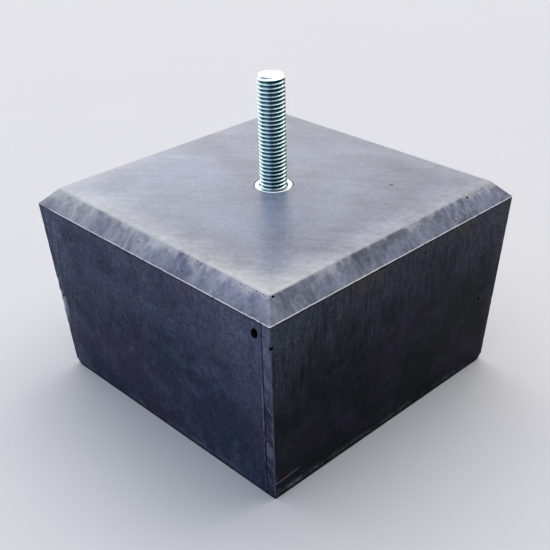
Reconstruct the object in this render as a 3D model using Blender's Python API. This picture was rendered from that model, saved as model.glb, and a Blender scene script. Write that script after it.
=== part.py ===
"""Cast concrete base block for a post, with a threaded stud standing in a flush steel collar.

The block is square in plan, draws in slightly towards its foot and has a chamfered top edge. It stands
on its underside. The origin is at the middle of the underside, +Z is up, and units are metres. The
corner that carries the air void and the mould seam is the one at +X, -Y.
"""

import math

import bmesh
import bpy
from mathutils import Matrix, Vector

# Block
BLOCK_WIDTH = 0.150
BLOCK_HEIGHT = 0.0936
FOOT_INSET = 0.0051
CHAMFER_INSET = 0.0070
CHAMFER_DROP = 0.0075
TOP_ARRIS_RADIUS = 0.0016
CORNER_RADIUS = 0.0004
TOP_CORNER_RADIUS = 0.0016
FOOT_EASE = 0.0003
FOOT_CORNER_RADIUS = 0.0036
FOOT_FRONT_RADIUS = 0.0012
FOOT_CORNER_RISE = 0.0030

# Stud, a cut length of M12 threaded rod. The two depths are shares of the pitch, as in the metric thread
THREAD_DIAMETER = 0.012
THREAD_PITCH = 0.00175
THREAD_DEPTH_SHARE = 0.61343
PITCH_LINE_SHARE = 0.32476
STUD_STAND = 0.0500
STUD_EMBED = 0.030
END_CHAMFER = 0.0005

# Collar, a plain steel ring cast in flush with the top
COLLAR_WALL = 0.0022
COLLAR_DEPTH = 0.012
COLLAR_EDGE = 0.0002

# Gap left between pieces that touch
FIT_GAP = 0.0003

# Mould seam, parallel to the corner, on the -Y wall
SEAM_FROM_CORNER = 0.0046
SEAM_WIDTH = 0.0005
SEAM_DEPTH = 0.0004

# Air void in the -Y wall, and the notch that another one leaves in the corner
VOID_FROM_CORNER = 0.0082
VOID_BELOW_ARRIS = 0.0064
VOID_WIDTH = 0.0034
VOID_HEIGHT = 0.0046
VOID_DEPTH = 0.0024
NOTCH_BELOW_ARRIS = 0.0098
NOTCH_WIDTH = 0.0018
NOTCH_HEIGHT = 0.0020
NOTCH_DEPTH = 0.0010

# Fineness of the meshes
CORNER_STEPS = 4
ARC_STEPS = 4
ROUND_SIDES = 40
THREAD_SIDES = 20
VOID_SIDES = 16
VOID_RINGS = 8
SMOOTH_ANGLE = math.radians(35)

# Sizes that follow from those above
HALF_WIDTH = BLOCK_WIDTH / 2
HALF_FOOT = HALF_WIDTH - FOOT_INSET
HALF_TOP = HALF_WIDTH - CHAMFER_INSET
ARRIS_HEIGHT = BLOCK_HEIGHT - CHAMFER_DROP
THREAD_RADIUS = THREAD_DIAMETER / 2
ROOT_RADIUS = THREAD_RADIUS - THREAD_DEPTH_SHARE * THREAD_PITCH
SHANK_RADIUS = THREAD_RADIUS - PITCH_LINE_SHARE * THREAD_PITCH
COLLAR_BORE = THREAD_RADIUS + FIT_GAP
COLLAR_RADIUS = COLLAR_BORE + COLLAR_WALL
SHANK_TOP = BLOCK_HEIGHT - 2 * THREAD_PITCH
STUD_TOP = BLOCK_HEIGHT + STUD_STAND


def clear_scene():
    for item in list(bpy.data.objects):
        bpy.data.objects.remove(item)


def add_object(name, mesh):
    """Object made from a bmesh, shaded smooth up to the sharp edges."""
    data = bpy.data.meshes.new(name)
    mesh.to_mesh(data)
    mesh.free()
    data.shade_smooth()
    data.set_sharp_from_angle(angle=SMOOTH_ANGLE)
    item = bpy.data.objects.new(name, data)
    bpy.context.scene.collection.objects.link(item)
    return item


def loft(name, rings, closed=False):
    """Skin over rings of equal length. The ends are capped or, where closed, joined to each other."""
    mesh = bmesh.new()
    rows = [[mesh.verts.new(point) for point in ring] for ring in rings]
    pairs = list(zip(rows, rows[1:]))
    if closed:
        pairs.append((rows[-1], rows[0]))
    else:
        mesh.faces.new(reversed(rows[0]))
        mesh.faces.new(rows[-1])
    for low, high in pairs:
        for i, corner in enumerate(low):
            j = (i + 1) % len(low)
            mesh.faces.new((corner, low[j], high[j], high[i]))
    return add_object(name, mesh)


def circle(radius, z, sides=ROUND_SIDES):
    turns = [math.tau * i / sides for i in range(sides)]
    return [Vector((radius * math.cos(turn), radius * math.sin(turn), z)) for turn in turns]


def rounded_square(half, z, radius, front_radius):
    """Points round a square with rounded corners, counter-clockwise from the front one, at +X, -Y."""
    points = []
    for quarter, arc in enumerate((front_radius, radius, radius, radius)):
        turn = Matrix.Rotation(math.radians(90 * quarter), 3, "Z")
        centre = Vector((half - arc, arc - half, z))
        for step in range(CORNER_STEPS + 1):
            angle = math.radians(-90 + 90 * step / CORNER_STEPS)
            offset = Vector((arc * math.cos(angle), arc * math.sin(angle), 0))
            points.append(turn @ (centre + offset))
    return points


def as_cutter(item):
    item.hide_render = True
    item.display_type = "WIRE"
    return item


def boolean(item, operation, other):
    modifier = item.modifiers.new(other.name, "BOOLEAN")
    modifier.operation = operation
    modifier.solver = "EXACT"
    modifier.object = as_cutter(other)


def give_material(item, name, colour, roughness, metallic):
    material = bpy.data.materials.new(name)
    material.use_nodes = True
    shader = material.node_tree.nodes["Principled BSDF"]
    shader.inputs["Base Color"].default_value = (*colour, 1)
    shader.inputs["Roughness"].default_value = roughness
    shader.inputs["Metallic"].default_value = metallic
    item.data.materials.append(material)


def wall_half(z):
    """Half of the block's width at height z, on the straight run of the wall."""
    return HALF_FOOT + FOOT_INSET * z / ARRIS_HEIGHT


def wall_frame(from_corner, below_arris):
    """Placement on the -Y wall: X runs along the wall, Y points into the block and Z runs up the wall."""
    slope = math.atan2(FOOT_INSET, ARRIS_HEIGHT)
    z = ARRIS_HEIGHT - below_arris * math.cos(slope)
    place = Vector((wall_half(z) - from_corner, -wall_half(z), z))
    return Matrix.Translation(place) @ Matrix.Rotation(slope, 4, "X")


def block_rings():
    """Sections of the block from the underside up to the flat of its top."""
    foot_half = wall_half(FOOT_EASE) - FOOT_EASE
    rings = [rounded_square(foot_half, 0, FOOT_CORNER_RADIUS, FOOT_FRONT_RADIUS)]
    for step in range(ARC_STEPS + 1):
        angle = math.radians(90 * step / ARC_STEPS)
        z = FOOT_EASE + (FOOT_CORNER_RISE - FOOT_EASE) * math.sin(angle)
        wear = 1 - math.sin(angle)
        radius = CORNER_RADIUS + (FOOT_CORNER_RADIUS - CORNER_RADIUS) * wear
        front_radius = CORNER_RADIUS + (FOOT_FRONT_RADIUS - CORNER_RADIUS) * wear
        rings.append(rounded_square(wall_half(z), z, radius, front_radius))
    rings.append(rounded_square(HALF_WIDTH, ARRIS_HEIGHT, CORNER_RADIUS, CORNER_RADIUS))
    bend = math.atan2(CHAMFER_DROP, CHAMFER_INSET)
    set_back = TOP_ARRIS_RADIUS * math.tan(bend / 2)
    for step in range(ARC_STEPS + 1):
        angle = bend * (1 - step / ARC_STEPS)
        z = BLOCK_HEIGHT - TOP_ARRIS_RADIUS * (1 - math.cos(angle))
        half = HALF_TOP - set_back + TOP_ARRIS_RADIUS * math.sin(angle)
        rings.append(rounded_square(half, z, TOP_CORNER_RADIUS, TOP_CORNER_RADIUS))
    return rings


def make_seat_cutter():
    """Stepped blind hole: wide for the collar, then narrow for the embedded shank."""
    shoulder = BLOCK_HEIGHT - COLLAR_DEPTH - FIT_GAP
    floor = BLOCK_HEIGHT - STUD_EMBED - FIT_GAP
    rings = [
        circle(SHANK_RADIUS + FIT_GAP, floor),
        circle(SHANK_RADIUS + FIT_GAP, shoulder),
        circle(COLLAR_RADIUS + FIT_GAP, shoulder),
        circle(COLLAR_RADIUS + FIT_GAP, BLOCK_HEIGHT + CHAMFER_DROP),
    ]
    return loft("seat_cutter", rings)


def make_void_cutter(name, frame, width, height, depth):
    """Egg-shaped cutter sunk to half its thickness in a wall."""
    mesh = bmesh.new()
    size = Matrix.Diagonal((width / 2, depth, height / 2, 1))
    bmesh.ops.create_uvsphere(
        mesh, u_segments=VOID_SIDES, v_segments=VOID_RINGS, radius=1, matrix=frame @ size
    )
    return add_object(name, mesh)


def make_seam_cutter():
    """Vee that runs down the -Y wall, from above the arris to below the foot."""
    over = 2 * SEAM_WIDTH
    rings = []
    for below in (ARRIS_HEIGHT + over, -over):
        frame = wall_frame(SEAM_FROM_CORNER, below)
        vee = [(SEAM_WIDTH, -SEAM_DEPTH), (0, SEAM_DEPTH), (-SEAM_WIDTH, -SEAM_DEPTH)]
        rings.append([frame @ Vector((x, y, 0)) for x, y in vee])
    return loft("seam_cutter", rings)


def make_block():
    block = loft("block", block_rings())
    boolean(block, "DIFFERENCE", make_seat_cutter())
    boolean(block, "DIFFERENCE", make_seam_cutter())
    in_wall = wall_frame(VOID_FROM_CORNER, VOID_BELOW_ARRIS)
    air_void = make_void_cutter("air_void", in_wall, VOID_WIDTH, VOID_HEIGHT, VOID_DEPTH)
    boolean(block, "DIFFERENCE", air_void)
    in_corner = wall_frame(0, NOTCH_BELOW_ARRIS)
    notch = make_void_cutter("corner_notch", in_corner, NOTCH_WIDTH, NOTCH_HEIGHT, NOTCH_DEPTH)
    boolean(block, "DIFFERENCE", notch)
    give_material(block, "dark concrete", (0.055, 0.062, 0.078), 0.45, 0.0)
    return block


def make_collar():
    bottom = BLOCK_HEIGHT - COLLAR_DEPTH
    rings = [
        circle(COLLAR_RADIUS, bottom),
        circle(COLLAR_RADIUS, BLOCK_HEIGHT - COLLAR_EDGE),
        circle(COLLAR_RADIUS - COLLAR_EDGE, BLOCK_HEIGHT),
        circle(COLLAR_BORE + COLLAR_EDGE, BLOCK_HEIGHT),
        circle(COLLAR_BORE, BLOCK_HEIGHT - COLLAR_EDGE),
        circle(COLLAR_BORE, bottom),
    ]
    collar = loft("collar", rings, closed=True)
    give_material(collar, "bright steel", (0.80, 0.82, 0.84), 0.25, 1.0)
    return collar


def make_thread(name, low, high):
    """Right-hand helix with flat crests and vee roots, closed at each end by a fan to the axis."""
    crest = THREAD_PITCH / 8
    root = crest + (THREAD_PITCH - crest) / 2
    profile = [(THREAD_RADIUS, 0), (THREAD_RADIUS, crest), (ROOT_RADIUS, root)]
    turns = math.ceil((high - low) / THREAD_PITCH) + 2
    start = low - THREAD_PITCH
    mesh = bmesh.new()
    rows = []
    for step in range(turns * THREAD_SIDES + 1):
        angle = math.tau * step / THREAD_SIDES
        lift = start + THREAD_PITCH * step / THREAD_SIDES
        rows.append(
            [mesh.verts.new((r * math.cos(angle), r * math.sin(angle), lift + z)) for r, z in profile]
        )
    for here, there in zip(rows, rows[1:]):
        for i in range(len(profile) - 1):
            mesh.faces.new((here[i], there[i], there[i + 1], here[i + 1]))
    for step in range(len(rows) - 1 - THREAD_SIDES):
        here, there = rows[step], rows[step + 1]
        above, above_there = rows[step + THREAD_SIDES], rows[step + THREAD_SIDES + 1]
        mesh.faces.new((here[-1], there[-1], above_there[0], above[0]))
    first = [row[0] for row in rows[: THREAD_SIDES + 1]]
    last = [row[-1] for row in rows[-THREAD_SIDES - 1 :]]
    close_end(mesh, start, first + [rows[0][2], rows[0][1]], down=True)
    close_end(mesh, rows[-1][-1].co.z, last + [rows[-1][1], rows[-1][0]], down=False)
    return add_object(name, mesh)


def close_end(mesh, z, loop, down):
    centre = mesh.verts.new((0, 0, z))
    for i, corner in enumerate(loop):
        following = loop[(i + 1) % len(loop)]
        mesh.faces.new((centre, following, corner) if down else (centre, corner, following))


def make_stud():
    """Threaded length trimmed to a chamfered end, on a plain shank that is cast in."""
    stud = make_thread("stud", SHANK_TOP, STUD_TOP)
    blank = [
        circle(THREAD_RADIUS + END_CHAMFER, SHANK_TOP),
        circle(THREAD_RADIUS + END_CHAMFER, STUD_TOP - 2 * END_CHAMFER),
        circle(THREAD_RADIUS - END_CHAMFER, STUD_TOP),
    ]
    boolean(stud, "INTERSECT", loft("stud_blank", blank))
    shank = [
        circle(SHANK_RADIUS, BLOCK_HEIGHT - STUD_EMBED),
        circle(SHANK_RADIUS, SHANK_TOP + THREAD_PITCH / 2),
    ]
    boolean(stud, "UNION", loft("stud_shank", shank))
    give_material(stud, "zinc plated steel", (0.72, 0.78, 0.82), 0.30, 1.0)
    return stud


clear_scene()
make_block()
make_collar()
make_stud()
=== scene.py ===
import math
import random
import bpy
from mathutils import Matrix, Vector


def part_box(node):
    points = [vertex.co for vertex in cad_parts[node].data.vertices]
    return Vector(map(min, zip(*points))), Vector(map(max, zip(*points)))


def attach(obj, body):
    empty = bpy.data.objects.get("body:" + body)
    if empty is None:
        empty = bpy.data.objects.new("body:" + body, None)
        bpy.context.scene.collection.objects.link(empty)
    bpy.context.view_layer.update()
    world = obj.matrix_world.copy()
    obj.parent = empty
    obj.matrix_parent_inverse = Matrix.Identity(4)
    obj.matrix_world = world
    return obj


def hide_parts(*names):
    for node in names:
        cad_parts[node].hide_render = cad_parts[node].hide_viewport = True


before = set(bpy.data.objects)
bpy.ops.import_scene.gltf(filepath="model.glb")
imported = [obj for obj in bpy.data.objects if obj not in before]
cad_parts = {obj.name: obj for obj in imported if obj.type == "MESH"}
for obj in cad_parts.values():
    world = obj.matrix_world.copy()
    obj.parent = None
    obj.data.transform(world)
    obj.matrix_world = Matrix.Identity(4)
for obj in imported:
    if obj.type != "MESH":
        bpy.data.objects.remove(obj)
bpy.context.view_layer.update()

from types import SimpleNamespace

import bmesh
import bpy
from mathutils import Matrix, Vector, noise

# The block. Dark pigmented concrete, cast in a smooth mould whose corner joint left a seam beside the
# front corner. Its top and chamfer were ground and trowelled after casting, so they are paler than the
# walls, and a thin flash stands along the arris between the chamfer and the walls. Sizes in metres.
block_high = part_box("block")[1]
half_width = block_high.x
block_height = block_high.z
foot_inset = 0.0051
chamfer_inset = 0.0070
chamfer_drop = 0.0075
arris_height = block_height - chamfer_drop
foot_ease = 0.0003
foot_corner = 0.0036
front_foot_corner = 0.0012
foot_corner_rise = 0.0030
wall_corner = 0.0005
top_corner = 0.0018
top_arris = 0.0016
skin = 0.00012
flash_height = 0.00022
seam_from_corner = 0.0046
seam_depth = 0.00060
wave_height = 0.00005
wave_rate = 28
ripple_height = 0.00002
ripple_rate = 130
flash_width = 0.00022
flash_rate = 300
nick_height = 0.0006
nick_reach = 0.0015
chip_width = 0.0009
chip_reach = 0.003
seam_width = 0.00020
seam_lip = 0.00008
seam_lip_place = 0.00045
seam_lip_width = 0.00016
least_depth = 0.00001
near_corner = 0.012
corner_turn = 0.002
station_gap = 0.0014
row_gap = 0.0016
fine_band = 0.0012
fine_rows = (0.0008, 0.0005, 0.0003, 0.00015)
chamfer_rows = (0.00015, 0.0003, 0.0005, 0.0008, 0.0013, 0.002, 0.003, 0.0042, 0.0055, 0.0068, 0.0080)
chamfer_run = 0.0095
foot_steps = 5
arris_steps = 6
chamfer_lean = 0.9
chamfer_lean_from = 0.001
nicks_a_side = 46
chips_a_corner = 9


def wall_half(z):
    """Half of the block's width at height z, on the straight run of the wall."""
    return half_width - foot_inset * (1 - z / arris_height)


def side_stations():
    """Places along one side, from end to end, closer together near the corners and the seam."""
    ends = [0, 0.00016, 0.00033, 0.0005, 0.0008, 0.0012, 0.0018, 0.0026, 0.0034]
    seam = [seam_from_corner + step for step in (-0.0006, -0.0003, -0.00012, 0, 0.00012, 0.0003, 0.0006)]
    beyond = [0.0062, 0.0073, 0.0084, 0.0095, 0.0107, near_corner]
    close = ends + seam + beyond
    reach = half_width - near_corner
    count = round(2 * reach / station_gap)
    middle = [-reach + i * 2 * reach / count for i in range(1, count)]
    return [-half_width + d for d in close] + middle + [half_width - d for d in reversed(close)][:-1]


def at_ring(station, half):
    """Moves a station to a narrower ring: near the corners its distance to the corner stays."""
    reach = half_width - near_corner
    if station > reach:
        return half - (half_width - station)
    if station < -reach:
        return -half + (half_width + station)
    return station * (half - near_corner) / reach


def rounded_point(along, half, radius):
    """Point on the -Y side of a rounded square, and the way in from it."""
    gap = half - abs(along)
    reach = max(radius, corner_turn)
    turned_in = math.radians(45) * max(0, 1 - gap / reach)
    inward = Vector((-math.copysign(math.sin(turned_in), along), math.cos(turned_in), 0))
    if gap >= radius:
        return Vector((along, -half, 0)), inward
    angle = math.radians(45) * (1 - gap / radius)
    x = half - radius + radius * math.sin(angle)
    return Vector((math.copysign(x, along), -(half - radius + radius * math.cos(angle)), 0)), inward


def block_profile():
    """(height, half width, corner radius, front corner's radius) of each ring, from the underside up."""
    rings = [(0, wall_half(foot_ease) - foot_ease, foot_corner, front_foot_corner)]
    for step in range(foot_steps + 1):
        angle = math.radians(90) * step / foot_steps
        z = foot_ease + (foot_corner_rise - foot_ease) * math.sin(angle)
        radii = [wall_corner + (foot - wall_corner) * (1 - math.sin(angle)) for foot in rings[0][2:]]
        rings.append((z, wall_half(z), *radii))
    plain_wall = arris_height - foot_corner_rise - fine_band
    rows = round(plain_wall / row_gap)
    for step in range(1, rows + 1):
        z = foot_corner_rise + plain_wall * step / rows
        rings.append((z, wall_half(z), wall_corner, wall_corner))
    for below in fine_rows:
        rings.append((arris_height - below, wall_half(arris_height - below), wall_corner, wall_corner))
    rings.append((arris_height, half_width, wall_corner, wall_corner))
    bend = math.atan2(chamfer_drop, chamfer_inset)
    slope = Vector((-chamfer_inset, chamfer_drop)).normalized()
    for along in chamfer_rows:
        place = Vector((half_width, arris_height)) + slope * along
        radius = wall_corner + (top_corner - wall_corner) * along / chamfer_run
        rings.append((place.y, place.x, radius, radius))
    set_back = top_arris * math.tan(bend / 2)
    for step in range(arris_steps + 1):
        angle = bend * (1 - step / arris_steps)
        z = block_height - top_arris * (1 - math.cos(angle))
        half = half_width - chamfer_inset - set_back + top_arris * math.sin(angle)
        rings.append((z, half, top_corner, top_corner))
    return rings


def bump_at(value, centre, width):
    """Smooth hump of height 1 over a span."""
    return math.exp(-((value - centre) / width) ** 2)


# Nicks in the arris: side, place from its front end, width and depth
arris_nicks = [(0, 0.0612, 0.0006, 0.0003), (0, 0.0086, 0.0006, 0.0002), (0, 0.0900, 0.0005, 0.0002)]
arris_nicks += [(1, 0.0208, 0.0007, 0.0003), (1, 0.0066, 0.0005, 0.0002), (1, 0.0420, 0.0005, 0.0002)]
rng = random.Random(12)
for side in range(4):
    for _ in range(nicks_a_side):
        arris_nicks.append(
            (side, rng.uniform(0.003, 0.147), rng.uniform(0.0003, 0.0009), rng.uniform(0.00003, 0.00013))
        )
# Chips out of the upright corners: corner, place below the arris, width and depth
corner_chips = [(3, 0.040, 0.0016, 0.0003), (3, 0.047, 0.0012, 0.0005), (3, 0.052, 0.0016, 0.0003)]
corner_chips += [(3, 0.064, 0.0010, 0.0002), (0, 0.0098, 0.0010, 0.0004), (0, 0.0269, 0.0006, 0.0003)]
for corner in range(4):
    for _ in range(chips_a_corner):
        corner_chips.append(
            (corner, rng.uniform(0.004, 0.082), rng.uniform(0.0004, 0.0014), rng.uniform(0.00003, 0.00014))
        )


def from_front(side, along):
    """Distance of a point on a side to the end that lies nearer the front corner, +X -Y."""
    return half_width - along if side in (0, 3) else half_width + along


def relief(side, along, half, z, point):
    """How far the surface stands in from its nominal place: waviness, seam, flash, nicks and chips."""
    below = arris_height - z
    depth = skin + wave_height * noise.noise(point * wave_rate)
    depth += ripple_height * noise.noise(point * ripple_rate)
    flash = bump_at(below, 0, flash_width)
    depth -= (skin * 0.8 + flash_height * 0.2 * noise.noise(point * flash_rate)) * flash
    to_front = from_front(side, along)
    if abs(below) < nick_reach:
        for nick_side, place, width, deep in arris_nicks:
            if nick_side == side and abs(to_front - place) < 3 * width:
                depth += deep * bump_at(to_front, place, width) * bump_at(below, 0, nick_height)
    if side == 0 and below > 0:
        off = half - along - seam_from_corner
        depth += seam_depth * bump_at(off, 0, seam_width)
        depth -= seam_lip * bump_at(abs(off), seam_lip_place, seam_lip_width)
    for end, corner in ((1, side), (-1, (side + 3) % 4)):
        gap = half - end * along
        if gap < chip_reach and below > 0:
            for chip_corner, place, width, deep in corner_chips:
                if chip_corner == corner and abs(below - place) < 3 * width:
                    depth += deep * bump_at(below, place, width) * bump_at(gap, 0, chip_width)
    return max(depth, least_depth)


def block_mesh():
    """Closed skin over the rings, as one bmesh."""
    mesh = bmesh.new()
    stations = side_stations()
    rows = []
    for z, half, radius, front_radius in block_profile():
        row = []
        for side in range(4):
            turn = Matrix.Rotation(math.radians(90 * side), 3, "Z")
            for station in stations:
                along = at_ring(station, half)
                at_front = (side == 0 and along > 0) or (side == 1 and along < 0)
                point, inward = rounded_point(along, half, front_radius if at_front else radius)
                point.z = z
                lean = Vector((0, 0, -chamfer_lean if z > arris_height + chamfer_lean_from else 0))
                depth = relief(side, along, half, z, turn @ point)
                if 0 < z < block_height - least_depth:
                    point += (inward + lean).normalized() * depth
                row.append(mesh.verts.new(turn @ point))
        rows.append(row)
    mesh.faces.new(list(reversed(rows[0])))
    mesh.faces.new(rows[-1])
    for low, high in zip(rows, rows[1:]):
        for i, corner in enumerate(low):
            j = (i + 1) % len(low)
            mesh.faces.new((corner, low[j], high[j], high[i]))
    return mesh


def new_piece(name, mesh, sharp=math.radians(30)):
    """A smooth-shaded piece in the scene. Edges that bend by more than the sharp angle stay crisp."""
    data = bpy.data.meshes.new(name)
    mesh.to_mesh(data)
    mesh.free()
    data.shade_smooth()
    data.set_sharp_from_angle(angle=sharp)
    piece = bpy.data.objects.new(name, data)
    bpy.context.scene.collection.objects.link(piece)
    return piece


def wall_place(side, to_front, below, lean=0.0):
    """Placement on a wall, from the distance to the front end of its top edge and below the arris."""
    z = arris_height - below
    along = half_width - to_front if side in (0, 3) else to_front - half_width
    tilt = Matrix.Rotation(math.atan2(foot_inset, arris_height), 4, "X") @ Matrix.Rotation(lean, 4, "Y")
    turn = Matrix.Rotation(math.radians(90 * side), 4, "Z")
    return turn @ Matrix.Translation((along, -wall_half(z), z)) @ tilt


def chamfer_place(side, to_front, up):
    """Placement on the chamfer, from the distance to the front corner and up from the arris."""
    slope = Vector((-chamfer_inset, chamfer_drop)).normalized()
    along = half_width - to_front if side in (0, 3) else to_front - half_width
    turn = Matrix.Rotation(math.radians(90 * side), 4, "Z")
    tilt = -math.atan2(chamfer_inset, chamfer_drop)
    place = Matrix.Translation((along, -half_width - slope.x * up, arris_height + slope.y * up))
    return turn @ place @ Matrix.Rotation(tilt, 4, "X")


def top_place(x, y, turn=0.0):
    """Placement on the top, turned about the upright."""
    flat = Matrix.Rotation(math.radians(-90), 4, "X")
    return Matrix.Translation((x, y, block_height)) @ Matrix.Rotation(turn, 4, "Z") @ flat


# Air voids, each as its placement, width, height and depth in millimetres. The lists name those that
# can be seen in the photograph: side, distances from the front end and from the arris, and width.
voids = [(wall_place(0, 0.0087, 0.0063, math.radians(25)), 3.4, 5.1, 3.2)]
voids.append((wall_place(0, 0.0007, 0.0098), 1.8, 1.5, 1.6))
voids.append((wall_place(1, 0.1343, 0.0471, math.radians(-33)), 1.4, 2.4, 1.3))
wall_voids = [
    (0, 100.9, 17.1, 0.7), (0, 45.9, 6.5, 0.6), (0, 53.4, 21.6, 0.8), (0, 62.0, 33.5, 0.8),
    (0, 7.2, 75.3, 0.5), (0, 6.7, 74.4, 0.4), (0, 7.7, 76.2, 0.45), (0, 6.3, 76.4, 0.35),
    (1, 2.6, 26.9, 0.7), (1, 88.2, 4.6, 0.9), (1, 91.9, 15.9, 0.9),
    (1, 53.6, 40.4, 0.95), (1, 145.2, 16.5, 0.9), (1, 127.0, 5.5, 0.85), (1, 121.4, 51.7, 0.7),
    (1, 27.5, 2.2, 0.8),
]
for side, to_front, below, size in wall_voids:
    voids.append((wall_place(side, to_front / 1000, below / 1000), size, size * 1.15, size * 0.8))
chamfer_voids = [
    (0, 45.7, 9.3, 0.7), (0, 21.0, 8.8, 0.55), (0, 19.1, 9.0, 0.5), (0, 13.1, 9.3, 0.55),
    (0, 9.7, 9.4, 0.5), (0, 8.7, 9.1, 0.45), (0, 136.6, 5.1, 0.45), (0, 132.6, 8.0, 0.45),
    (0, 123.9, 1.5, 0.45), (0, 91.7, 1.1, 0.5), (0, 80.2, 5.3, 0.6), (1, 8.0, 9.2, 1.1),
    (1, 123.5, 8.7, 1.05), (1, 136.3, 7.6, 0.45), (1, 147.0, 2.4, 0.7),
]
for side, to_front, up, size in chamfer_voids:
    voids.append((chamfer_place(side, to_front / 1000, up / 1000), size, size, size * 0.8))
voids.append((top_place(0.0384, 0.0346, math.radians(40)), 1.9, 1.0, 1.6))
# Small seeded ones, fewer on the two near walls, which have those of the lists
for side in range(4):
    for _ in range(9 if side in (0, 1) else 16):
        size = 0.3 + 0.5 * rng.random() ** 3
        spot = wall_place(side, rng.uniform(0.006, 0.144), rng.uniform(0.002, 0.080))
        voids.append((spot, size, size * rng.uniform(0.9, 1.3), size * 0.7))
    for _ in range(3 if side in (0, 1) else 9):
        size = 0.3 + 0.3 * rng.random() ** 2
        spot = chamfer_place(side, rng.uniform(0.01, 0.14), rng.uniform(0.001, 0.0085))
        voids.append((spot, size, size, size))
for _ in range(5):
    spot = top_place(rng.uniform(-0.06, 0.06), rng.uniform(-0.06, 0.06), rng.uniform(0, 3))
    voids.append((spot, 0.45, 0.35, 0.3))


def void_cutters():
    """All air voids as egg-shaped solids, as one bmesh."""
    mesh = bmesh.new()
    for place, width, height, depth in voids:
        size = Matrix.Diagonal((width / 2000, depth / 1000, height / 2000, 1))
        fine = 3 if width > 1 else 2
        bmesh.ops.create_icosphere(mesh, subdivisions=fine, radius=1, matrix=place @ size)
    return mesh


def seat_cutter(radius, depth):
    """Round hole in the top, for the ring."""
    mesh = bmesh.new()
    middle = Matrix.Translation((0, 0, block_height))
    bmesh.ops.create_cone(
        mesh, cap_ends=True, segments=96, radius1=radius, radius2=radius, depth=2 * depth, matrix=middle
    )
    return mesh


class Socket:
    """An output socket of a node tree. Arithmetic on it adds Math nodes."""

    def __init__(self, tree, link=None):
        self.tree = tree
        self.link = link

    def node(self, kind, settings, values, out=0):
        """Adds any other node: its settings first, then a value or a link for each named socket."""
        made = self.tree.nodes.new("ShaderNode" + kind)
        for name, value in settings.items():
            setattr(made, name, value)
        for name, value in values.items():
            if isinstance(value, Socket):
                self.tree.links.new(value.link, made.inputs[name])
            else:
                made.inputs[name].default_value = value
        return Socket(self.tree, made.outputs[out])

    def maths(self, operation, *values, clamp=False):
        return self.node("Math", {"operation": operation, "use_clamp": clamp}, dict(enumerate(values)))

    def __add__(self, other):
        return self.maths("ADD", self, other)

    def __sub__(self, other):
        return self.maths("SUBTRACT", self, other)

    def __mul__(self, other):
        return self.maths("MULTIPLY", self, other)

    def __truediv__(self, other):
        return self.maths("DIVIDE", self, other)

    def __radd__(self, other):
        return self.maths("ADD", other, self)

    def __rsub__(self, other):
        return self.maths("SUBTRACT", other, self)

    def __rmul__(self, other):
        return self.maths("MULTIPLY", other, self)

    def size(self):
        return self.maths("ABSOLUTE", self)

    def root(self):
        return self.maths("SQRT", self)

    def at_least(self, other):
        return self.maths("MAXIMUM", self, other)

    def over(self, limit):
        """1 where this is greater than the limit, 0 elsewhere."""
        return self.maths("GREATER_THAN", self, limit)

    def clamped(self):
        return self.maths("ADD", self, 0.0, clamp=True)

    def rise(self, low, high):
        """0 below low, 1 above high, smooth between them. A low above the high makes it fall."""
        values = {"Value": self, "From Min": low, "From Max": high}
        return self.node("MapRange", {"interpolation_type": "SMOOTHSTEP"}, values)

    def near(self, centre, reach):
        """1 at the centre, 0 beyond the reach."""
        return 1 - (self - centre).size().rise(0, reach)

    def split(self):
        """The x, y and z of this vector."""
        parts = self.node("SeparateXYZ", {}, {"Vector": self}).link.node
        return [Socket(self.tree, parts.outputs[i]) for i in range(3)]

    def stretched(self, factors):
        return self.node("VectorMath", {"operation": "MULTIPLY"}, {0: self, 1: factors})

    def swung(self, axis, degrees):
        """This vector turned about an axis through the origin."""
        values = {"Vector": self, "Angle": math.radians(degrees)}
        return self.node("VectorRotate", {"rotation_type": axis + "_AXIS"}, values)

    def grain(self, scale, detail=3.0, roughness=0.55, distortion=0.0):
        """Noise of about 0.3 to 0.7 over this vector."""
        values = {"Vector": self, "Scale": scale, "Detail": detail}
        values.update({"Roughness": roughness, "Distortion": distortion})
        return self.node("TexNoise", {}, values)

    def blend(self, first, second):
        """Colour that goes from the first to the second as this factor goes from 0 to 1."""
        colours = {6: first, 7: second, 0: self}
        return self.node("Mix", {"data_type": "RGBA"}, colours, out=2)

    def tinted(self, factor):
        """This colour times a number."""
        grey = self.node("CombineColor", {}, {0: factor, 1: factor, 2: factor})
        colours = {0: 1.0, 6: self, 7: grey}
        return self.node("Mix", {"data_type": "RGBA", "blend_type": "MULTIPLY"}, colours, out=2)


def start_material(name):
    """A new material, its Principled shader and its object coordinates."""
    material = bpy.data.materials.new(name)
    material.use_nodes = True
    shader = material.node_tree.nodes["Principled BSDF"]
    place = Socket(material.node_tree).node("TexCoord", {}, {}, "Object")
    return material, shader, place


def feed(shader, name, value):
    """Sets a shader input to a constant, or links it."""
    if isinstance(value, Socket):
        value.tree.links.new(value.link, shader.inputs[name])
    else:
        shader.inputs[name].default_value = value


def bumped(height, strength, distance, under=None):
    values = {"Height": height, "Strength": strength, "Distance": distance}
    if under is not None:
        values["Normal"] = under
    return height.node("Bump", {}, values)


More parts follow.
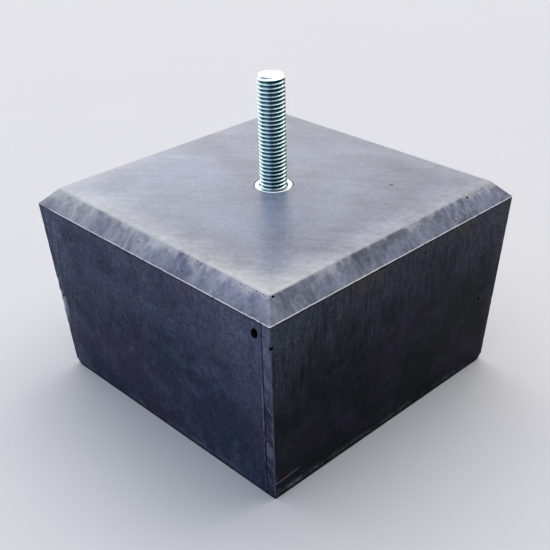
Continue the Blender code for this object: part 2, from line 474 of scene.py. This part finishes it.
wall_teal = (0.0175, 0.0290, 0.0555, 1)
wall_violet = (0.0296, 0.0298, 0.0605, 1)
wall_pale = (0.108, 0.122, 0.188, 1)
wall_mauve = (0.100, 0.078, 0.100, 1)
# Right wall colours: darker than the left ones, partly painted shade
wall_black = (0.0034, 0.0052, 0.0100, 1)
wall_plum = (0.0100, 0.0072, 0.0205, 1)
wall_slate = (0.045, 0.054, 0.077, 1)
wall_brown = (0.064, 0.052, 0.048, 1)
# Painted highlight on the front corner and along the foot
edge_highlight = (0.135, 0.138, 0.182, 1)
scratch_pale = (0.150, 0.145, 0.160, 1)
# Painted shadow along the foot, where the block meets the floor
foot_contact_shadow = (0.004, 0.004, 0.005, 1)
# Chamfer colours: the right ones are a darker copy of the left ones, partly painted shade
chamfer_dark = (0.108, 0.122, 0.190, 1)
chamfer_pale = (0.322, 0.348, 0.448, 1)
chamfer_warm = (0.352, 0.354, 0.415, 1)
chamfer_right_dark = (0.073, 0.080, 0.115, 1)
chamfer_right_pale = (0.233, 0.248, 0.345, 1)
top_dark = (0.048, 0.062, 0.103, 1)
top_pale = (0.206, 0.260, 0.405, 1)
top_front_dark = (0.058, 0.064, 0.096, 1)
top_front_pale = (0.240, 0.268, 0.378, 1)
lime_white = (0.50, 0.51, 0.54, 1)
# Painted highlight along the flash on the arris
arris_highlight_white = (0.72, 0.73, 0.78, 1)
# Painted shade inside the voids, with a little dust
shade_and_dust_dark = (0.003, 0.003, 0.004, 1)
shade_and_dust_pale = (0.014, 0.015, 0.019, 1)

# Marks on the walls, in metres along the wall from the front end of its arris and below the arris.
# Pale smudges and brown stains: place and reach along, then below. Scratches: start, end, width, strength.
smudges = [(0.130, 0.007, 0.044, 0.006), (0.080, 0.008, 0.049, 0.006)]
stains = [(0.053, 0.020), (0.116, 0.016), (0.147, 0.010)]
gouge = ((0.0208, 0.0739), (0.0291, 0.0730), 0.0006)
scratches = [
    ((0.0047, 0.0779), (0.0196, 0.0769), 0.0005, 1.0),
    ((0.0046, 0.0764), (0.0076, 0.0736), 0.0004, 0.7),
    ((0.0054, 0.0816), (0.0088, 0.0818), 0.0004, 0.8),
    ((0.0168, 0.0849), (0.0202, 0.0820), 0.0004, 0.6),
]
slant_angle = -35
trowel_angle = -37


def surface(place):
    """What the concrete's parts share: places in metres, which part a point is on (0 or 1), and noises.

    The left walls are the -Y and -X ones, the right walls the +X and +Y ones, as seen from the front. The
    right walls and chamfer take darker colours than the left ones: partly a real difference in surface,
    partly painted shade."""
    s = SimpleNamespace()
    s.x, s.y, s.z = place.split()
    s.out = s.x.size().at_least(s.y.size())
    s.top = s.z.rise(block_height - 0.0007, block_height - 0.0001)
    s.wall = 1 - s.z.rise(arris_height - 0.0002, arris_height + 0.0001)
    s.chamfer = 1 - s.top - s.wall
    s.right = (s.x + s.y).rise(-0.0006, 0.0006)
    s.on_right = (s.x + s.y).over(0.0)
    s.on_x_wall = s.x.size().over(s.y.size())
    s.on_y_wall = 1 - s.on_x_wall
    s.along = half_width - (s.x * s.on_y_wall + s.y * s.on_x_wall) * (1 - s.on_right * 2)
    s.below = arris_height - s.z
    s.to_front = s.along - s.below * (foot_inset / arris_height)
    # lift grows from 0 low on the walls to 1 near the arris; the walls use it for painted light, paler
    # high up where less shade falls.
    s.lift = s.z.rise(0.030, 0.088)

    sheet = place.node("CombineXYZ", {}, {0: s.along, 1: s.on_right * 0.3 + s.on_x_wall * 0.2, 2: s.z})
    s.cloud = sheet.grain(20, 4, 0.6, 0.3)
    s.patch = sheet.grain(60, 5, 0.62, 0.5)
    s.blotch = sheet.grain(170, 5, 0.65, 0.4)
    s.upright = sheet.stretched((1.0, 1.0, 0.12)).grain(600, 4, 0.75)
    s.streak = sheet.stretched((1.0, 1.0, 0.32)).grain(680, 4, 0.75)
    s.slanted = sheet.swung("Y", slant_angle).stretched((1.0, 1.0, 0.28)).grain(170, 5, 0.7, 0.8)
    s.haze = place.grain(32, 4, 0.6, 0.5)
    s.dab = place.grain(300, 5, 0.7, 0.4)
    s.grit = place.grain(520, 4, 0.75)
    s.fleck = place.grain(1500, 2, 0.7)
    s.sweep = place.swung("Z", trowel_angle).stretched((0.12, 1.0, 1.0)).grain(190, 5, 0.7, 0.5)
    return s


def left_wall(s):
    """Cloudy blue-grey and violet, paler near the arris and the front corner, which is partly painted
    light, and paler at the far end.
    """
    # The lift terms here and below are partly painted light: paler high up and near the front corner.
    pale = (s.patch - 0.5) * 1.2 + (s.blotch - 0.5) * 0.6 + s.lift * 0.40
    pale = pale + s.along.near(0.141, 0.012) * s.z.rise(0.010, 0.060) * s.upright.rise(0.44, 0.60) * 0.45
    for place, reach, below, below_reach in smudges:
        pale = pale + s.along.near(place, reach) * s.below.near(below, below_reach) * 0.12
    pale = pale + s.along.near(0.014, 0.040) * s.lift * 0.30 + s.along.rise(0.100, 0.140) * 0.10 + 0.03
    pale = pale - s.along.near(0.075, 0.030) * s.below.near(0.045, 0.030) * 0.12
    strip = s.to_front.rise(seam_from_corner + 0.0001, seam_from_corner - 0.0002) * s.on_y_wall
    pale = pale + strip * (s.slanted.rise(0.46, 0.58) * 1.1 - 0.12 + s.below.near(0.012, 0.030) * 0.25)
    colour = s.cloud.rise(0.40, 0.60).blend(wall_teal, wall_violet)
    colour = pale.clamped().blend(colour, wall_pale)
    mauve = s.below.near(0.002, 0.013) * s.along.near(0.062, 0.040) * s.patch.rise(0.42, 0.58)
    colour = (mauve * 0.7).blend(colour, wall_mauve)
    chipped = s.below.near(0.052, 0.013) * s.to_front.rise(0.1385, 0.1425) * s.blotch.rise(0.44, 0.52)
    seam_lip = s.to_front.near(seam_from_corner + 0.0007, 0.0005) * s.below.rise(0.018, 0.026)
    lime = chipped * 0.7 + seam_lip * s.upright.rise(0.42, 0.54) * 0.22
    return (lime * s.on_y_wall).clamped().blend(colour, lime_white)


def right_wall(s):
    """Near black, brushed from top to bottom, paler near the arris and the front corner, which is partly
    painted light, and brown in places under the arris.
    """
    brushed = (s.patch - 0.5) * 1.2 + (s.upright - 0.5) * (s.lift * 1.8 + 0.3)
    # The lift and below terms are partly painted light: paler towards the arris and near the front corner.
    brushed = brushed + s.lift * 0.34 + s.below.rise(0.032, 0.0) * 0.34
    brushed = brushed + s.along.near(0.0, 0.045) * s.lift * 0.30 + s.along.near(0.1465, 0.008) * 0.35
    brushed = brushed + s.along.rise(0.100, 0.135) * s.below.rise(0.040, 0.010) * 0.25
    colour = s.cloud.rise(0.46, 0.60).blend(wall_black, wall_plum)
    colour = brushed.clamped().blend(colour, wall_slate)
    brown = 0.0
    for place, reach in stains:
        brown = brown + s.along.near(place, reach)
    brown = brown * s.below.near(0.001, 0.011) * s.blotch.rise(0.38, 0.56)
    return (brown * 0.8).blend(colour, wall_brown)


def stroke(s, start, end, width):
    """1 on a straight line between two points of a wall (metres along it and below its top), 0 off it."""
    run, fall = end[0] - start[0], end[1] - start[1]
    length = math.hypot(run, fall)
    on = (s.along - start[0]) * (run / length) + (s.below - start[1]) * (fall / length)
    off = (s.along - start[0]) * (fall / length) - (s.below - start[1]) * (run / length)
    return off.near(0, width) * on.rise(0, 0.001) * on.rise(length, length - 0.003)


def wall_marks(s, walls):
    """Adds speckle, painted highlights along the front corner and the foot, painted shade in dark lines
    beside the corner, under the arris and in the seam, and scratches.
    """
    speckle = 1 + (s.grit - 0.5) * 2.4 + (s.fleck - 0.5) * 1.6 + (s.upright - 0.5) * 1.2
    walls = walls.tinted(speckle.at_least(0.2))
    # Painted highlight: a pale line down the front corner.
    corner = s.to_front.near(0.0002, 0.0006) * (0.25 + s.streak.rise(0.35, 0.60) * 0.5)
    walls = corner.blend(walls, edge_highlight)
    # Painted shade: dark lines beside the front corner on the right wall, under the arris and in the
    # seam's groove.
    dark = s.to_front.near(0.0013, 0.0006) * s.right * s.below.near(0.020, 0.014) * 0.7
    dark = dark + s.below.near(0.0007, 0.0007) * s.blotch.rise(0.35, 0.5) * 0.7
    dark = dark + s.to_front.near(seam_from_corner, 0.00045) * s.on_y_wall * (1 - s.right)
    walls = walls.tinted(1 - dark.clamped() * 0.75)
    # Painted highlight: a patchy pale band along the rounded foot.
    toe = s.z.near(0.0027, 0.0020) * s.patch.rise(0.42, 0.56) * (0.3 + s.grit.rise(0.42, 0.60))
    toe = toe * (0.4 + s.along.near(0.0, 0.040) * s.right * 0.5)
    walls = toe.clamped().blend(walls, edge_highlight)
    walls = walls.tinted(1 - stroke(s, *gouge) * (1 - s.right) * s.on_y_wall * 0.5)
    scratched = 0.0
    for start, end, width, strength in scratches:
        scratched = scratched + stroke(s, start, end, width) * strength
    return (scratched.clamped() * s.right * s.on_x_wall).blend(walls, scratch_pale)


def chamfer_colour(s):
    """Matt and cloudy, streaked from top to bottom, its upper edge rubbed pale here and there. The right
    chamfer is darker than the left, partly painted shade.
    """
    up = (s.z - arris_height) / chamfer_drop
    mottle = 0.5 + (s.blotch - 0.5) * 1.8 + (s.patch - 0.5) * 1.2 + (s.grit - 0.5) * 0.9
    mottle = mottle + (s.streak - 0.5) * (0.45 + s.on_right * 0.75) + s.along.near(0.0, 0.006) * 0.3
    left = mottle + s.along.rise(0.060, 0.100) * 0.14 + (up - 0.5) * 0.30 - 0.07
    left = left - s.along.near(0.051, 0.014) * 0.28 + s.along.near(0.075, 0.008) * 0.06
    left = left + (s.haze - 0.5) * 0.9
    right = mottle - s.along.near(0.050, 0.040) * up * 0.22 + s.along.rise(0.09, 0.12) * 0.12
    right = right + s.along.near(0.111, 0.007) * s.streak.rise(0.48, 0.60) * 0.35
    contrast = (s.streak - 0.5) * 1.0 + (s.blotch - 0.5) * 1.8
    right = right + s.along.rise(0.090, 0.125) * contrast
    left_pale = s.along.rise(0.045, 0.105).blend(chamfer_pale, chamfer_warm)
    left = left.clamped().blend(chamfer_dark, left_pale)
    # Partly painted shade: the right chamfer takes darker colours.
    right = right.clamped().blend(chamfer_right_dark, chamfer_right_pale)
    rubbed = up + (s.blotch - 0.5) * 1.2 + (s.patch - 0.5) * 1.6
    rubbed = rubbed - s.on_right * 0.10 - s.along.near(0.0, 0.030) * 0.10
    return (rubbed.rise(0.64, 1.04) * 0.43).blend(s.right.blend(left, right), lime_white)


def top_colour(s):
    """Colour and polish of the top: ground smooth, with faint trowel marks and a whitish worn border, and
    a painted reflection that makes it darker towards the right.
    """
    front = ((s.x - s.y) * 0.5).rise(0.040, 0.068)
    to_right = (s.x + s.y).rise(-0.030, 0.030)
    facing = (s.x - s.y).rise(-0.060, 0.020) * 0.7 + 0.3
    worn = (s.out + (s.haze - 0.5) * 0.020 + (s.sweep - 0.5) * 0.010).rise(0.050, 0.0695)
    border = (s.out + (s.blotch - 0.5) * 0.004).rise(0.0660, 0.0680)
    scuff = worn * (0.30 - to_right * 0.14 + front * 0.26 + (s.dab - 0.5) * 0.9) * facing
    scuff = scuff + border * facing * (0.25 - to_right * 0.12)
    fade = ((s.x - s.y) * 0.5).rise(0.012, 0.056)
    # Painted reflection: the top is paler on the left and darker towards the right.
    tone = 0.62 - ((s.x + s.y) * 0.5).rise(-0.070, 0.080) * 0.26 + (s.haze - 0.5) * 1.0
    tone = tone + (s.sweep - 0.5) * 0.55 + (s.grit - 0.5) * 0.7 + (s.fleck - 0.5) * 0.6 + fade * 0.04
    dark = fade.blend(top_dark, top_front_dark)
    pale = fade.blend(top_pale, top_front_pale)
    colour = scuff.clamped().blend(tone.clamped().blend(dark, pale), lime_white)
    return colour, (1 - scuff * 0.6) * (1 - fade * 0.42)


def concrete_material():
    material, shader, place = start_material("dark_concrete")
    s = surface(place)
    # Partly painted shade: the right walls take a darker copy of the colours than the left ones.
    walls = wall_marks(s, s.right.blend(left_wall(s), right_wall(s)))
    level, polish = top_colour(s)
    colour = s.wall.blend(s.top.blend(chamfer_colour(s), level), walls)
    # Painted highlight: a near white line along the flash on the arris, broken by the grit.
    flash = s.z.near(arris_height, 0.00030) * s.grit.rise(0.30, 0.45)
    flash = flash * (1 - s.along.rise(0.138, 0.143) * (1 - s.right))
    colour = (flash * 0.9).blend(colour, arris_highlight_white)
    # Painted shadow: a near black band along the foot, where the block meets the floor.
    colour = (s.z.rise(0.0015, 0.0009) * 0.9).blend(colour, foot_contact_shadow)
    feed(shader, "Base Color", colour)
    feed(shader, "Roughness", 0.48 + s.blotch * 0.2)
    feed(shader, "Specular IOR Level", 0.08)
    feed(shader, "Coat Weight", s.top * polish)
    feed(shader, "Coat Roughness", 0.31)
    grains = s.fleck * 0.3 + s.upright * s.wall * 0.5 + s.streak * s.chamfer * 0.9 + s.grit * 0.5
    fine = bumped(grains, 0.5, 0.00008)
    feed(shader, "Normal", bumped(s.blotch * 0.6 + s.sweep * s.top * 0.5, 0.2, 0.0002, fine))
    return material


def void_material():
    """Inside of the air voids: painted shade, near black, rough and a little dusty."""
    material, shader, place = start_material("void")
    dust = place.grain(900, 3, 0.7)
    feed(shader, "Base Color", dust.rise(0.45, 0.75).blend(shade_and_dust_dark, shade_and_dust_pale))
    feed(shader, "Roughness", 0.85)
    feed(shader, "Specular IOR Level", 0.03)
    feed(shader, "Normal", bumped(dust, 0.4, 0.0001))
    return material


def cut(piece, cutter, operation="DIFFERENCE"):
    """Cuts a piece with another, whose material lines what it takes away."""
    modifier = piece.modifiers.new(cutter.name, "BOOLEAN")
    modifier.operation = operation
    modifier.solver = "EXACT"
    modifier.material_mode = "TRANSFER"
    modifier.object = cutter


def settle(piece, *cutters):
    """Applies the cuts, shades level faces flat and removes the cutters."""
    graph = bpy.context.evaluated_depsgraph_get()
    data = bpy.data.meshes.new_from_object(piece.evaluated_get(graph))
    piece.modifiers.clear()
    piece.data = data
    for face in data.polygons:
        if abs(face.normal.z) > 0.99999:
            face.use_smooth = False
    for cutter in cutters:
        bpy.data.objects.remove(cutter)


collar_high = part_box("collar")[1]
seat_gap = 0.0003
seat_depth = 0.004
block = new_piece("cast_block", block_mesh())
block.data.materials.append(concrete_material())
pits = new_piece("pits", void_cutters())
pits.data.materials.append(void_material())
seat = new_piece("seat", seat_cutter(collar_high.x + seat_gap, seat_depth))
# The seat's gap round the ring is lined with the same near black, painted shade.
seat.data.materials.append(pits.data.materials[0])
cut(block, pits)
cut(block, seat)
settle(block, pits, seat)
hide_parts("block")
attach(block, "root")

# The ring. A plain steel ring cast in flush with the top, its face bright from the same grinding; the
# stud passes through it with a narrow dark gap.
ring_edge = 0.0002
ring_depth = 0.0035
ring_wall = 0.0022
ring_sides = 96
ring_crease = math.radians(25)
steel_clean = (0.82, 0.90, 0.98, 1)
steel_stained = (0.66, 0.75, 0.86, 1)


def turned_row(mesh, profile, angle, lift=0.0):
    """An outline of (radius, height) points as vertices, turned to an angle about Z and lifted."""
    return [mesh.verts.new((r * math.cos(angle), r * math.sin(angle), z + lift)) for r, z in profile]


def turned(profile, sides):
    """Closed ring turned round the Z axis from an outline of (radius, height) points."""
    mesh = bmesh.new()
    rows = []
    for step in range(sides):
        rows.append(turned_row(mesh, profile, math.tau * step / sides))
    for here, there in zip(rows, rows[1:] + rows[:1]):
        for i, corner in enumerate(here):
            j = (i + 1) % len(here)
            mesh.faces.new((corner, there[i], there[j], here[j]))
    return mesh


def ring_material():
    material, shader, place = start_material("bright_steel")
    lap = place.grain(420, 4, 0.7, 0.8)
    stain = place.grain(160, 3, 0.6)
    feed(shader, "Base Color", stain.rise(0.35, 0.7).blend(steel_clean, steel_stained))
    feed(shader, "Metallic", 1.0)
    feed(shader, "Roughness", 0.22 + lap * 0.2)
    feed(shader, "Normal", bumped(lap, 0.3, 0.00008))
    return material


outer = collar_high.x
inner = outer - ring_wall
ring_top = collar_high.z
outline = [
    (outer, ring_top - ring_depth), (outer, ring_top - ring_edge), (outer - ring_edge, ring_top),
    (inner + ring_edge, ring_top), (inner, ring_top - ring_edge), (inner, ring_top - ring_depth),
]
ring = new_piece("collar_ring", turned(outline, ring_sides), ring_crease)
ring.data.materials.append(ring_material())
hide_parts("collar")
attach(ring, "root")

# The stud. A cut length of rolled M12 rod, zinc plated: rounded roots, flat crests, and a sawn end with
# a small chamfer.
stud_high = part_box("stud")[1]
stud_radius = stud_high.x
stud_top = stud_high.z
pitch = 0.00175
thread_depth = 0.61343 * pitch
end_chamfer = 0.0005
thread_start = block_height - 2 * pitch
thread_sides = 72
thread_crease = math.radians(28)
# The groove's side: share of the way to its middle, and share of the thread's depth
groove = [(0.25, 0.28), (0.5, 0.56), (0.72, 0.8064), (0.88, 0.93), (1.0, 1.0)]
# Zinc colours that carry painted light: highlight, reflection, groove shade, shade on the right and a
# shadow on the rim
zinc_highlight = (0.84, 0.98, 1.0, 1)
zinc_reflection = (0.72, 0.96, 1.0, 1)
zinc_teal = (0.17, 0.38, 0.46, 1)
zinc_groove_shade = (0.03, 0.13, 0.20, 1)
zinc_shadow = (0.012, 0.022, 0.028, 1)
zinc_rim_shadow = (0.10, 0.12, 0.14, 1)
rim_shadow_radius = 0.86 * stud_radius
rim_shadow_width = 0.0005


def thread_profile():
    """(radius, height) of one turn: a flat crest, a straight flank, a rounded root and a flank back."""
    crest = pitch / 8
    run = (pitch - crest) / 2
    shape = [(stud_radius, 0), (stud_radius, crest)]
    for share, sink in groove:
        shape.append((stud_radius - thread_depth * sink, crest + run * share))
    for radius, height in reversed(shape[2:-1]):
        shape.append((radius, 2 * (crest + run) - height))
    return shape


def thread_mesh():
    """Right-hand helix, longer than the stud and closed by a fan at each end. The blank trims it."""
    profile = thread_profile()
    turns = math.ceil((stud_top - thread_start) / pitch) + 2
    start = thread_start - pitch
    mesh = bmesh.new()
    rows = []
    for step in range(turns * thread_sides + 1):
        lift = start + pitch * step / thread_sides
        rows.append(turned_row(mesh, profile, math.tau * step / thread_sides, lift))
    for here, there in zip(rows, rows[1:]):
        for i in range(len(profile) - 1):
            mesh.faces.new((here[i], there[i], there[i + 1], here[i + 1]))
    for step in range(len(rows) - 1 - thread_sides):
        here, there = rows[step], rows[step + 1]
        above, above_there = rows[step + thread_sides], rows[step + thread_sides + 1]
        mesh.faces.new((here[-1], there[-1], above_there[0], above[0]))
    first = [row[0] for row in rows[: thread_sides + 1]] + rows[0][:0:-1]
    last = [row[-1] for row in rows[-thread_sides - 1 :]] + rows[-1][-2::-1]
    for centre_height, loop, down in ((start, first, True), (rows[-1][-1].co.z, last, False)):
        centre = mesh.verts.new((0, 0, centre_height))
        for i, corner in enumerate(loop):
            following = loop[(i + 1) % len(loop)]
            mesh.faces.new((centre, following, corner) if down else (centre, corner, following))
    return mesh


def blank_mesh():
    """Cylinder with a chamfered end that trims the thread."""
    mesh = bmesh.new()
    wide = stud_radius + end_chamfer
    narrow = stud_radius - end_chamfer
    turns = [math.tau * i / thread_sides for i in range(thread_sides)]
    rows = []
    for radius, z in ((wide, thread_start), (wide, stud_top - 2 * end_chamfer), (narrow, stud_top)):
        rows.append([mesh.verts.new((radius * math.cos(a), radius * math.sin(a), z)) for a in turns])
    mesh.faces.new(list(reversed(rows[0])))
    mesh.faces.new(rows[-1])
    for low, high in zip(rows, rows[1:]):
        for i, corner in enumerate(low):
            j = (i + 1) % thread_sides
            mesh.faces.new((corner, low[j], high[j], high[i]))
    return mesh


def zinc_material():
    """Painted light on the zinc: a painted highlight on the crests and the end, a painted reflection on
    the left flanks, teal flanks with painted shade towards the root and along the right side, and a
    painted shadow on the rim.
    """
    material, shader, place = start_material("zinc_plated_steel")
    x, y, z = place.split()
    mottle = place.grain(350, 4, 0.65)
    from_axis = (x * x + y * y).root()
    sink = (stud_radius - from_axis) / thread_depth
    to_right = (x + y) * (math.sqrt(0.5) / stud_radius) + (mottle - 0.5) * 0.3
    # Painted reflection: pale cyan flanks on the left side, teal elsewhere.
    metal = to_right.near(-0.45, 0.45).blend(zinc_teal, zinc_reflection)
    # Painted shade in the grooves, towards the root.
    metal = (sink.rise(0.42, 0.78) * 0.8).blend(metal, zinc_groove_shade)
    # Painted shade along the right side.
    metal = (to_right.rise(0.80, 0.90) * 0.9).blend(metal, zinc_shadow)
    # Painted highlight on the crests and the end, dimmer in the middle and on the right.
    shine = 1 - to_right.near(-0.05, 0.28) * 0.5 - to_right.rise(0.88, 0.98) * 0.7
    end = z.rise(stud_top - 2 * end_chamfer, stud_top - 1.8 * end_chamfer)
    crest = (1 - sink.rise(0.10, 0.26)) * shine + end
    metal = crest.clamped().blend(metal, zinc_highlight)
    # Painted shadow: a dark dash on the rim's front, where the thread runs out.
    rim = from_axis.near(rim_shadow_radius, rim_shadow_width) * z.rise(stud_top - 0.0002, stud_top - 0.0001)
    rim_shadow = rim * (x - y).rise(0.0, 0.002) * to_right.near(-0.40, 0.45) * mottle.rise(0.35, 0.5)
    feed(shader, "Base Color", rim_shadow.clamped().blend(metal, zinc_rim_shadow))
    feed(shader, "Metallic", 1.0)
    feed(shader, "Roughness", 0.26 + mottle * 0.15)
    feed(shader, "Normal", bumped(mottle, 0.25, 0.0001))
    return material


stud = new_piece("threaded_stud", thread_mesh(), thread_crease)
stud.data.materials.append(zinc_material())
blank = new_piece("blank", blank_mesh())
blank.data.materials.append(stud.data.materials[0])
cut(stud, blank, "INTERSECT")
settle(stud, blank)
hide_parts("stud")
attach(stud, "root")

# Floor. A plain pale sheet, wide enough to fill the view.
floor_size = 8.0
floor_gap = 0.00002
floor_grey = (0.450, 0.460, 0.526, 1)
floor_pale = (0.468, 0.4784, 0.547, 1)


def floor_material():
    material, shader, place = start_material("floor")
    soft = place.grain(9, 3)
    feed(shader, "Base Color", soft.blend(floor_grey, floor_pale))
    feed(shader, "Roughness", 0.8)
    return material


floor_mesh = bmesh.new()
bmesh.ops.create_grid(floor_mesh, x_segments=1, y_segments=1, size=floor_size / 2)
floor = new_piece("floor", floor_mesh)
floor.location.z = -floor_gap
floor.data.materials.append(floor_material())

# Light. A soft sky with broad bright areas overhead, behind the block and to its right, and a weak blue
# one on the viewer's left. Low views show a plain pale backdrop beyond the floor, which casts no light.
# Each area: azimuth from +X towards +Y, elevation and reach in degrees, and colour.
backdrop_grey = (0.72, 0.73, 0.76)
sky_areas = [
    (0, 90, 60, (1.85, 1.90, 1.75)), (145, 30, 46, (1.62, 1.40, 1.25)), (84, 52, 37, (2.4, 2.15, 1.8)),
    (180, 35, 41, (1.05, 1.12, 1.1)), (270, 35, 41, (0.40, 0.52, 0.95)),
]


def sky():
    """World whose colour is the sum of the soft round areas, or the backdrop where the camera sees it."""
    world = bpy.data.worlds.new("sky")
    world.use_nodes = True
    bpy.context.scene.world = world
    background = world.node_tree.nodes["Background"]
    way = Socket(world.node_tree).node("TexCoord", {}, {}, "Generated")
    total = (0.0, 0.0, 0.0)
    for azimuth, elevation, reach, colour in sky_areas:
        turn, climb = math.radians(azimuth), math.radians(elevation)
        middle = (math.cos(turn) * math.cos(climb), math.sin(turn) * math.cos(climb), math.sin(climb))
        facing = way.node("VectorMath", {"operation": "DOT_PRODUCT"}, {0: way, 1: middle}, "Value")
        area = facing.rise(math.cos(math.radians(reach)), 1.0)
        spread = way.node("CombineXYZ", {}, {0: area, 1: area, 2: area})
        total = way.node("VectorMath", {"operation": "MULTIPLY_ADD"}, {0: spread, 1: colour, 2: total})
    seen = way.node("LightPath", {}, {}, "Is Camera Ray")
    shown = way.node("CombineXYZ", {}, {0: seen, 1: seen, 2: seen})
    left = way.node("VectorMath", {"operation": "SUBTRACT"}, {0: (1.0, 1.0, 1.0), 1: shown})
    lit = way.node("VectorMath", {"operation": "MULTIPLY"}, {0: total, 1: left})
    total = way.node("VectorMath", {"operation": "MULTIPLY_ADD"}, {0: shown, 1: backdrop_grey, 2: lit})
    world.node_tree.links.new(total.link, background.inputs["Color"])


sky()

# Camera, at the photograph's viewing angle. Its place was solved from the block's edges; right and up
# shift it across its view.
camera_azimuth = math.radians(46.51)
camera_elevation = math.radians(29.38)
camera_roll = math.radians(-1.50)
camera_distance = 0.46555
camera_right = -0.00155
camera_up = 0.04143
camera_lens = 62.12
camera_sensor = 36.0


def place_camera():
    data = bpy.data.cameras.new("camera")
    data.lens = camera_lens
    data.sensor_width = camera_sensor
    data.clip_start = 0.01
    camera = bpy.data.objects.new("camera", data)
    bpy.context.scene.collection.objects.link(camera)
    level = math.cos(camera_elevation)
    back = Vector((
        math.sin(camera_azimuth) * level, -math.cos(camera_azimuth) * level, math.sin(camera_elevation)
    ))
    right = Vector((math.cos(camera_azimuth), math.sin(camera_azimuth), 0))
    up = back.cross(right)
    across = right * math.cos(camera_roll) + up * math.sin(camera_roll)
    upward = up * math.cos(camera_roll) - right * math.sin(camera_roll)
    turn = Matrix((across, upward, back)).transposed()
    place = back * camera_distance + across * camera_right + upward * camera_up
    camera.matrix_world = Matrix.Translation(place) @ turn.to_4x4()
    bpy.context.scene.camera = camera


place_camera()
bpy.context.scene.view_settings.view_transform = "Standard"
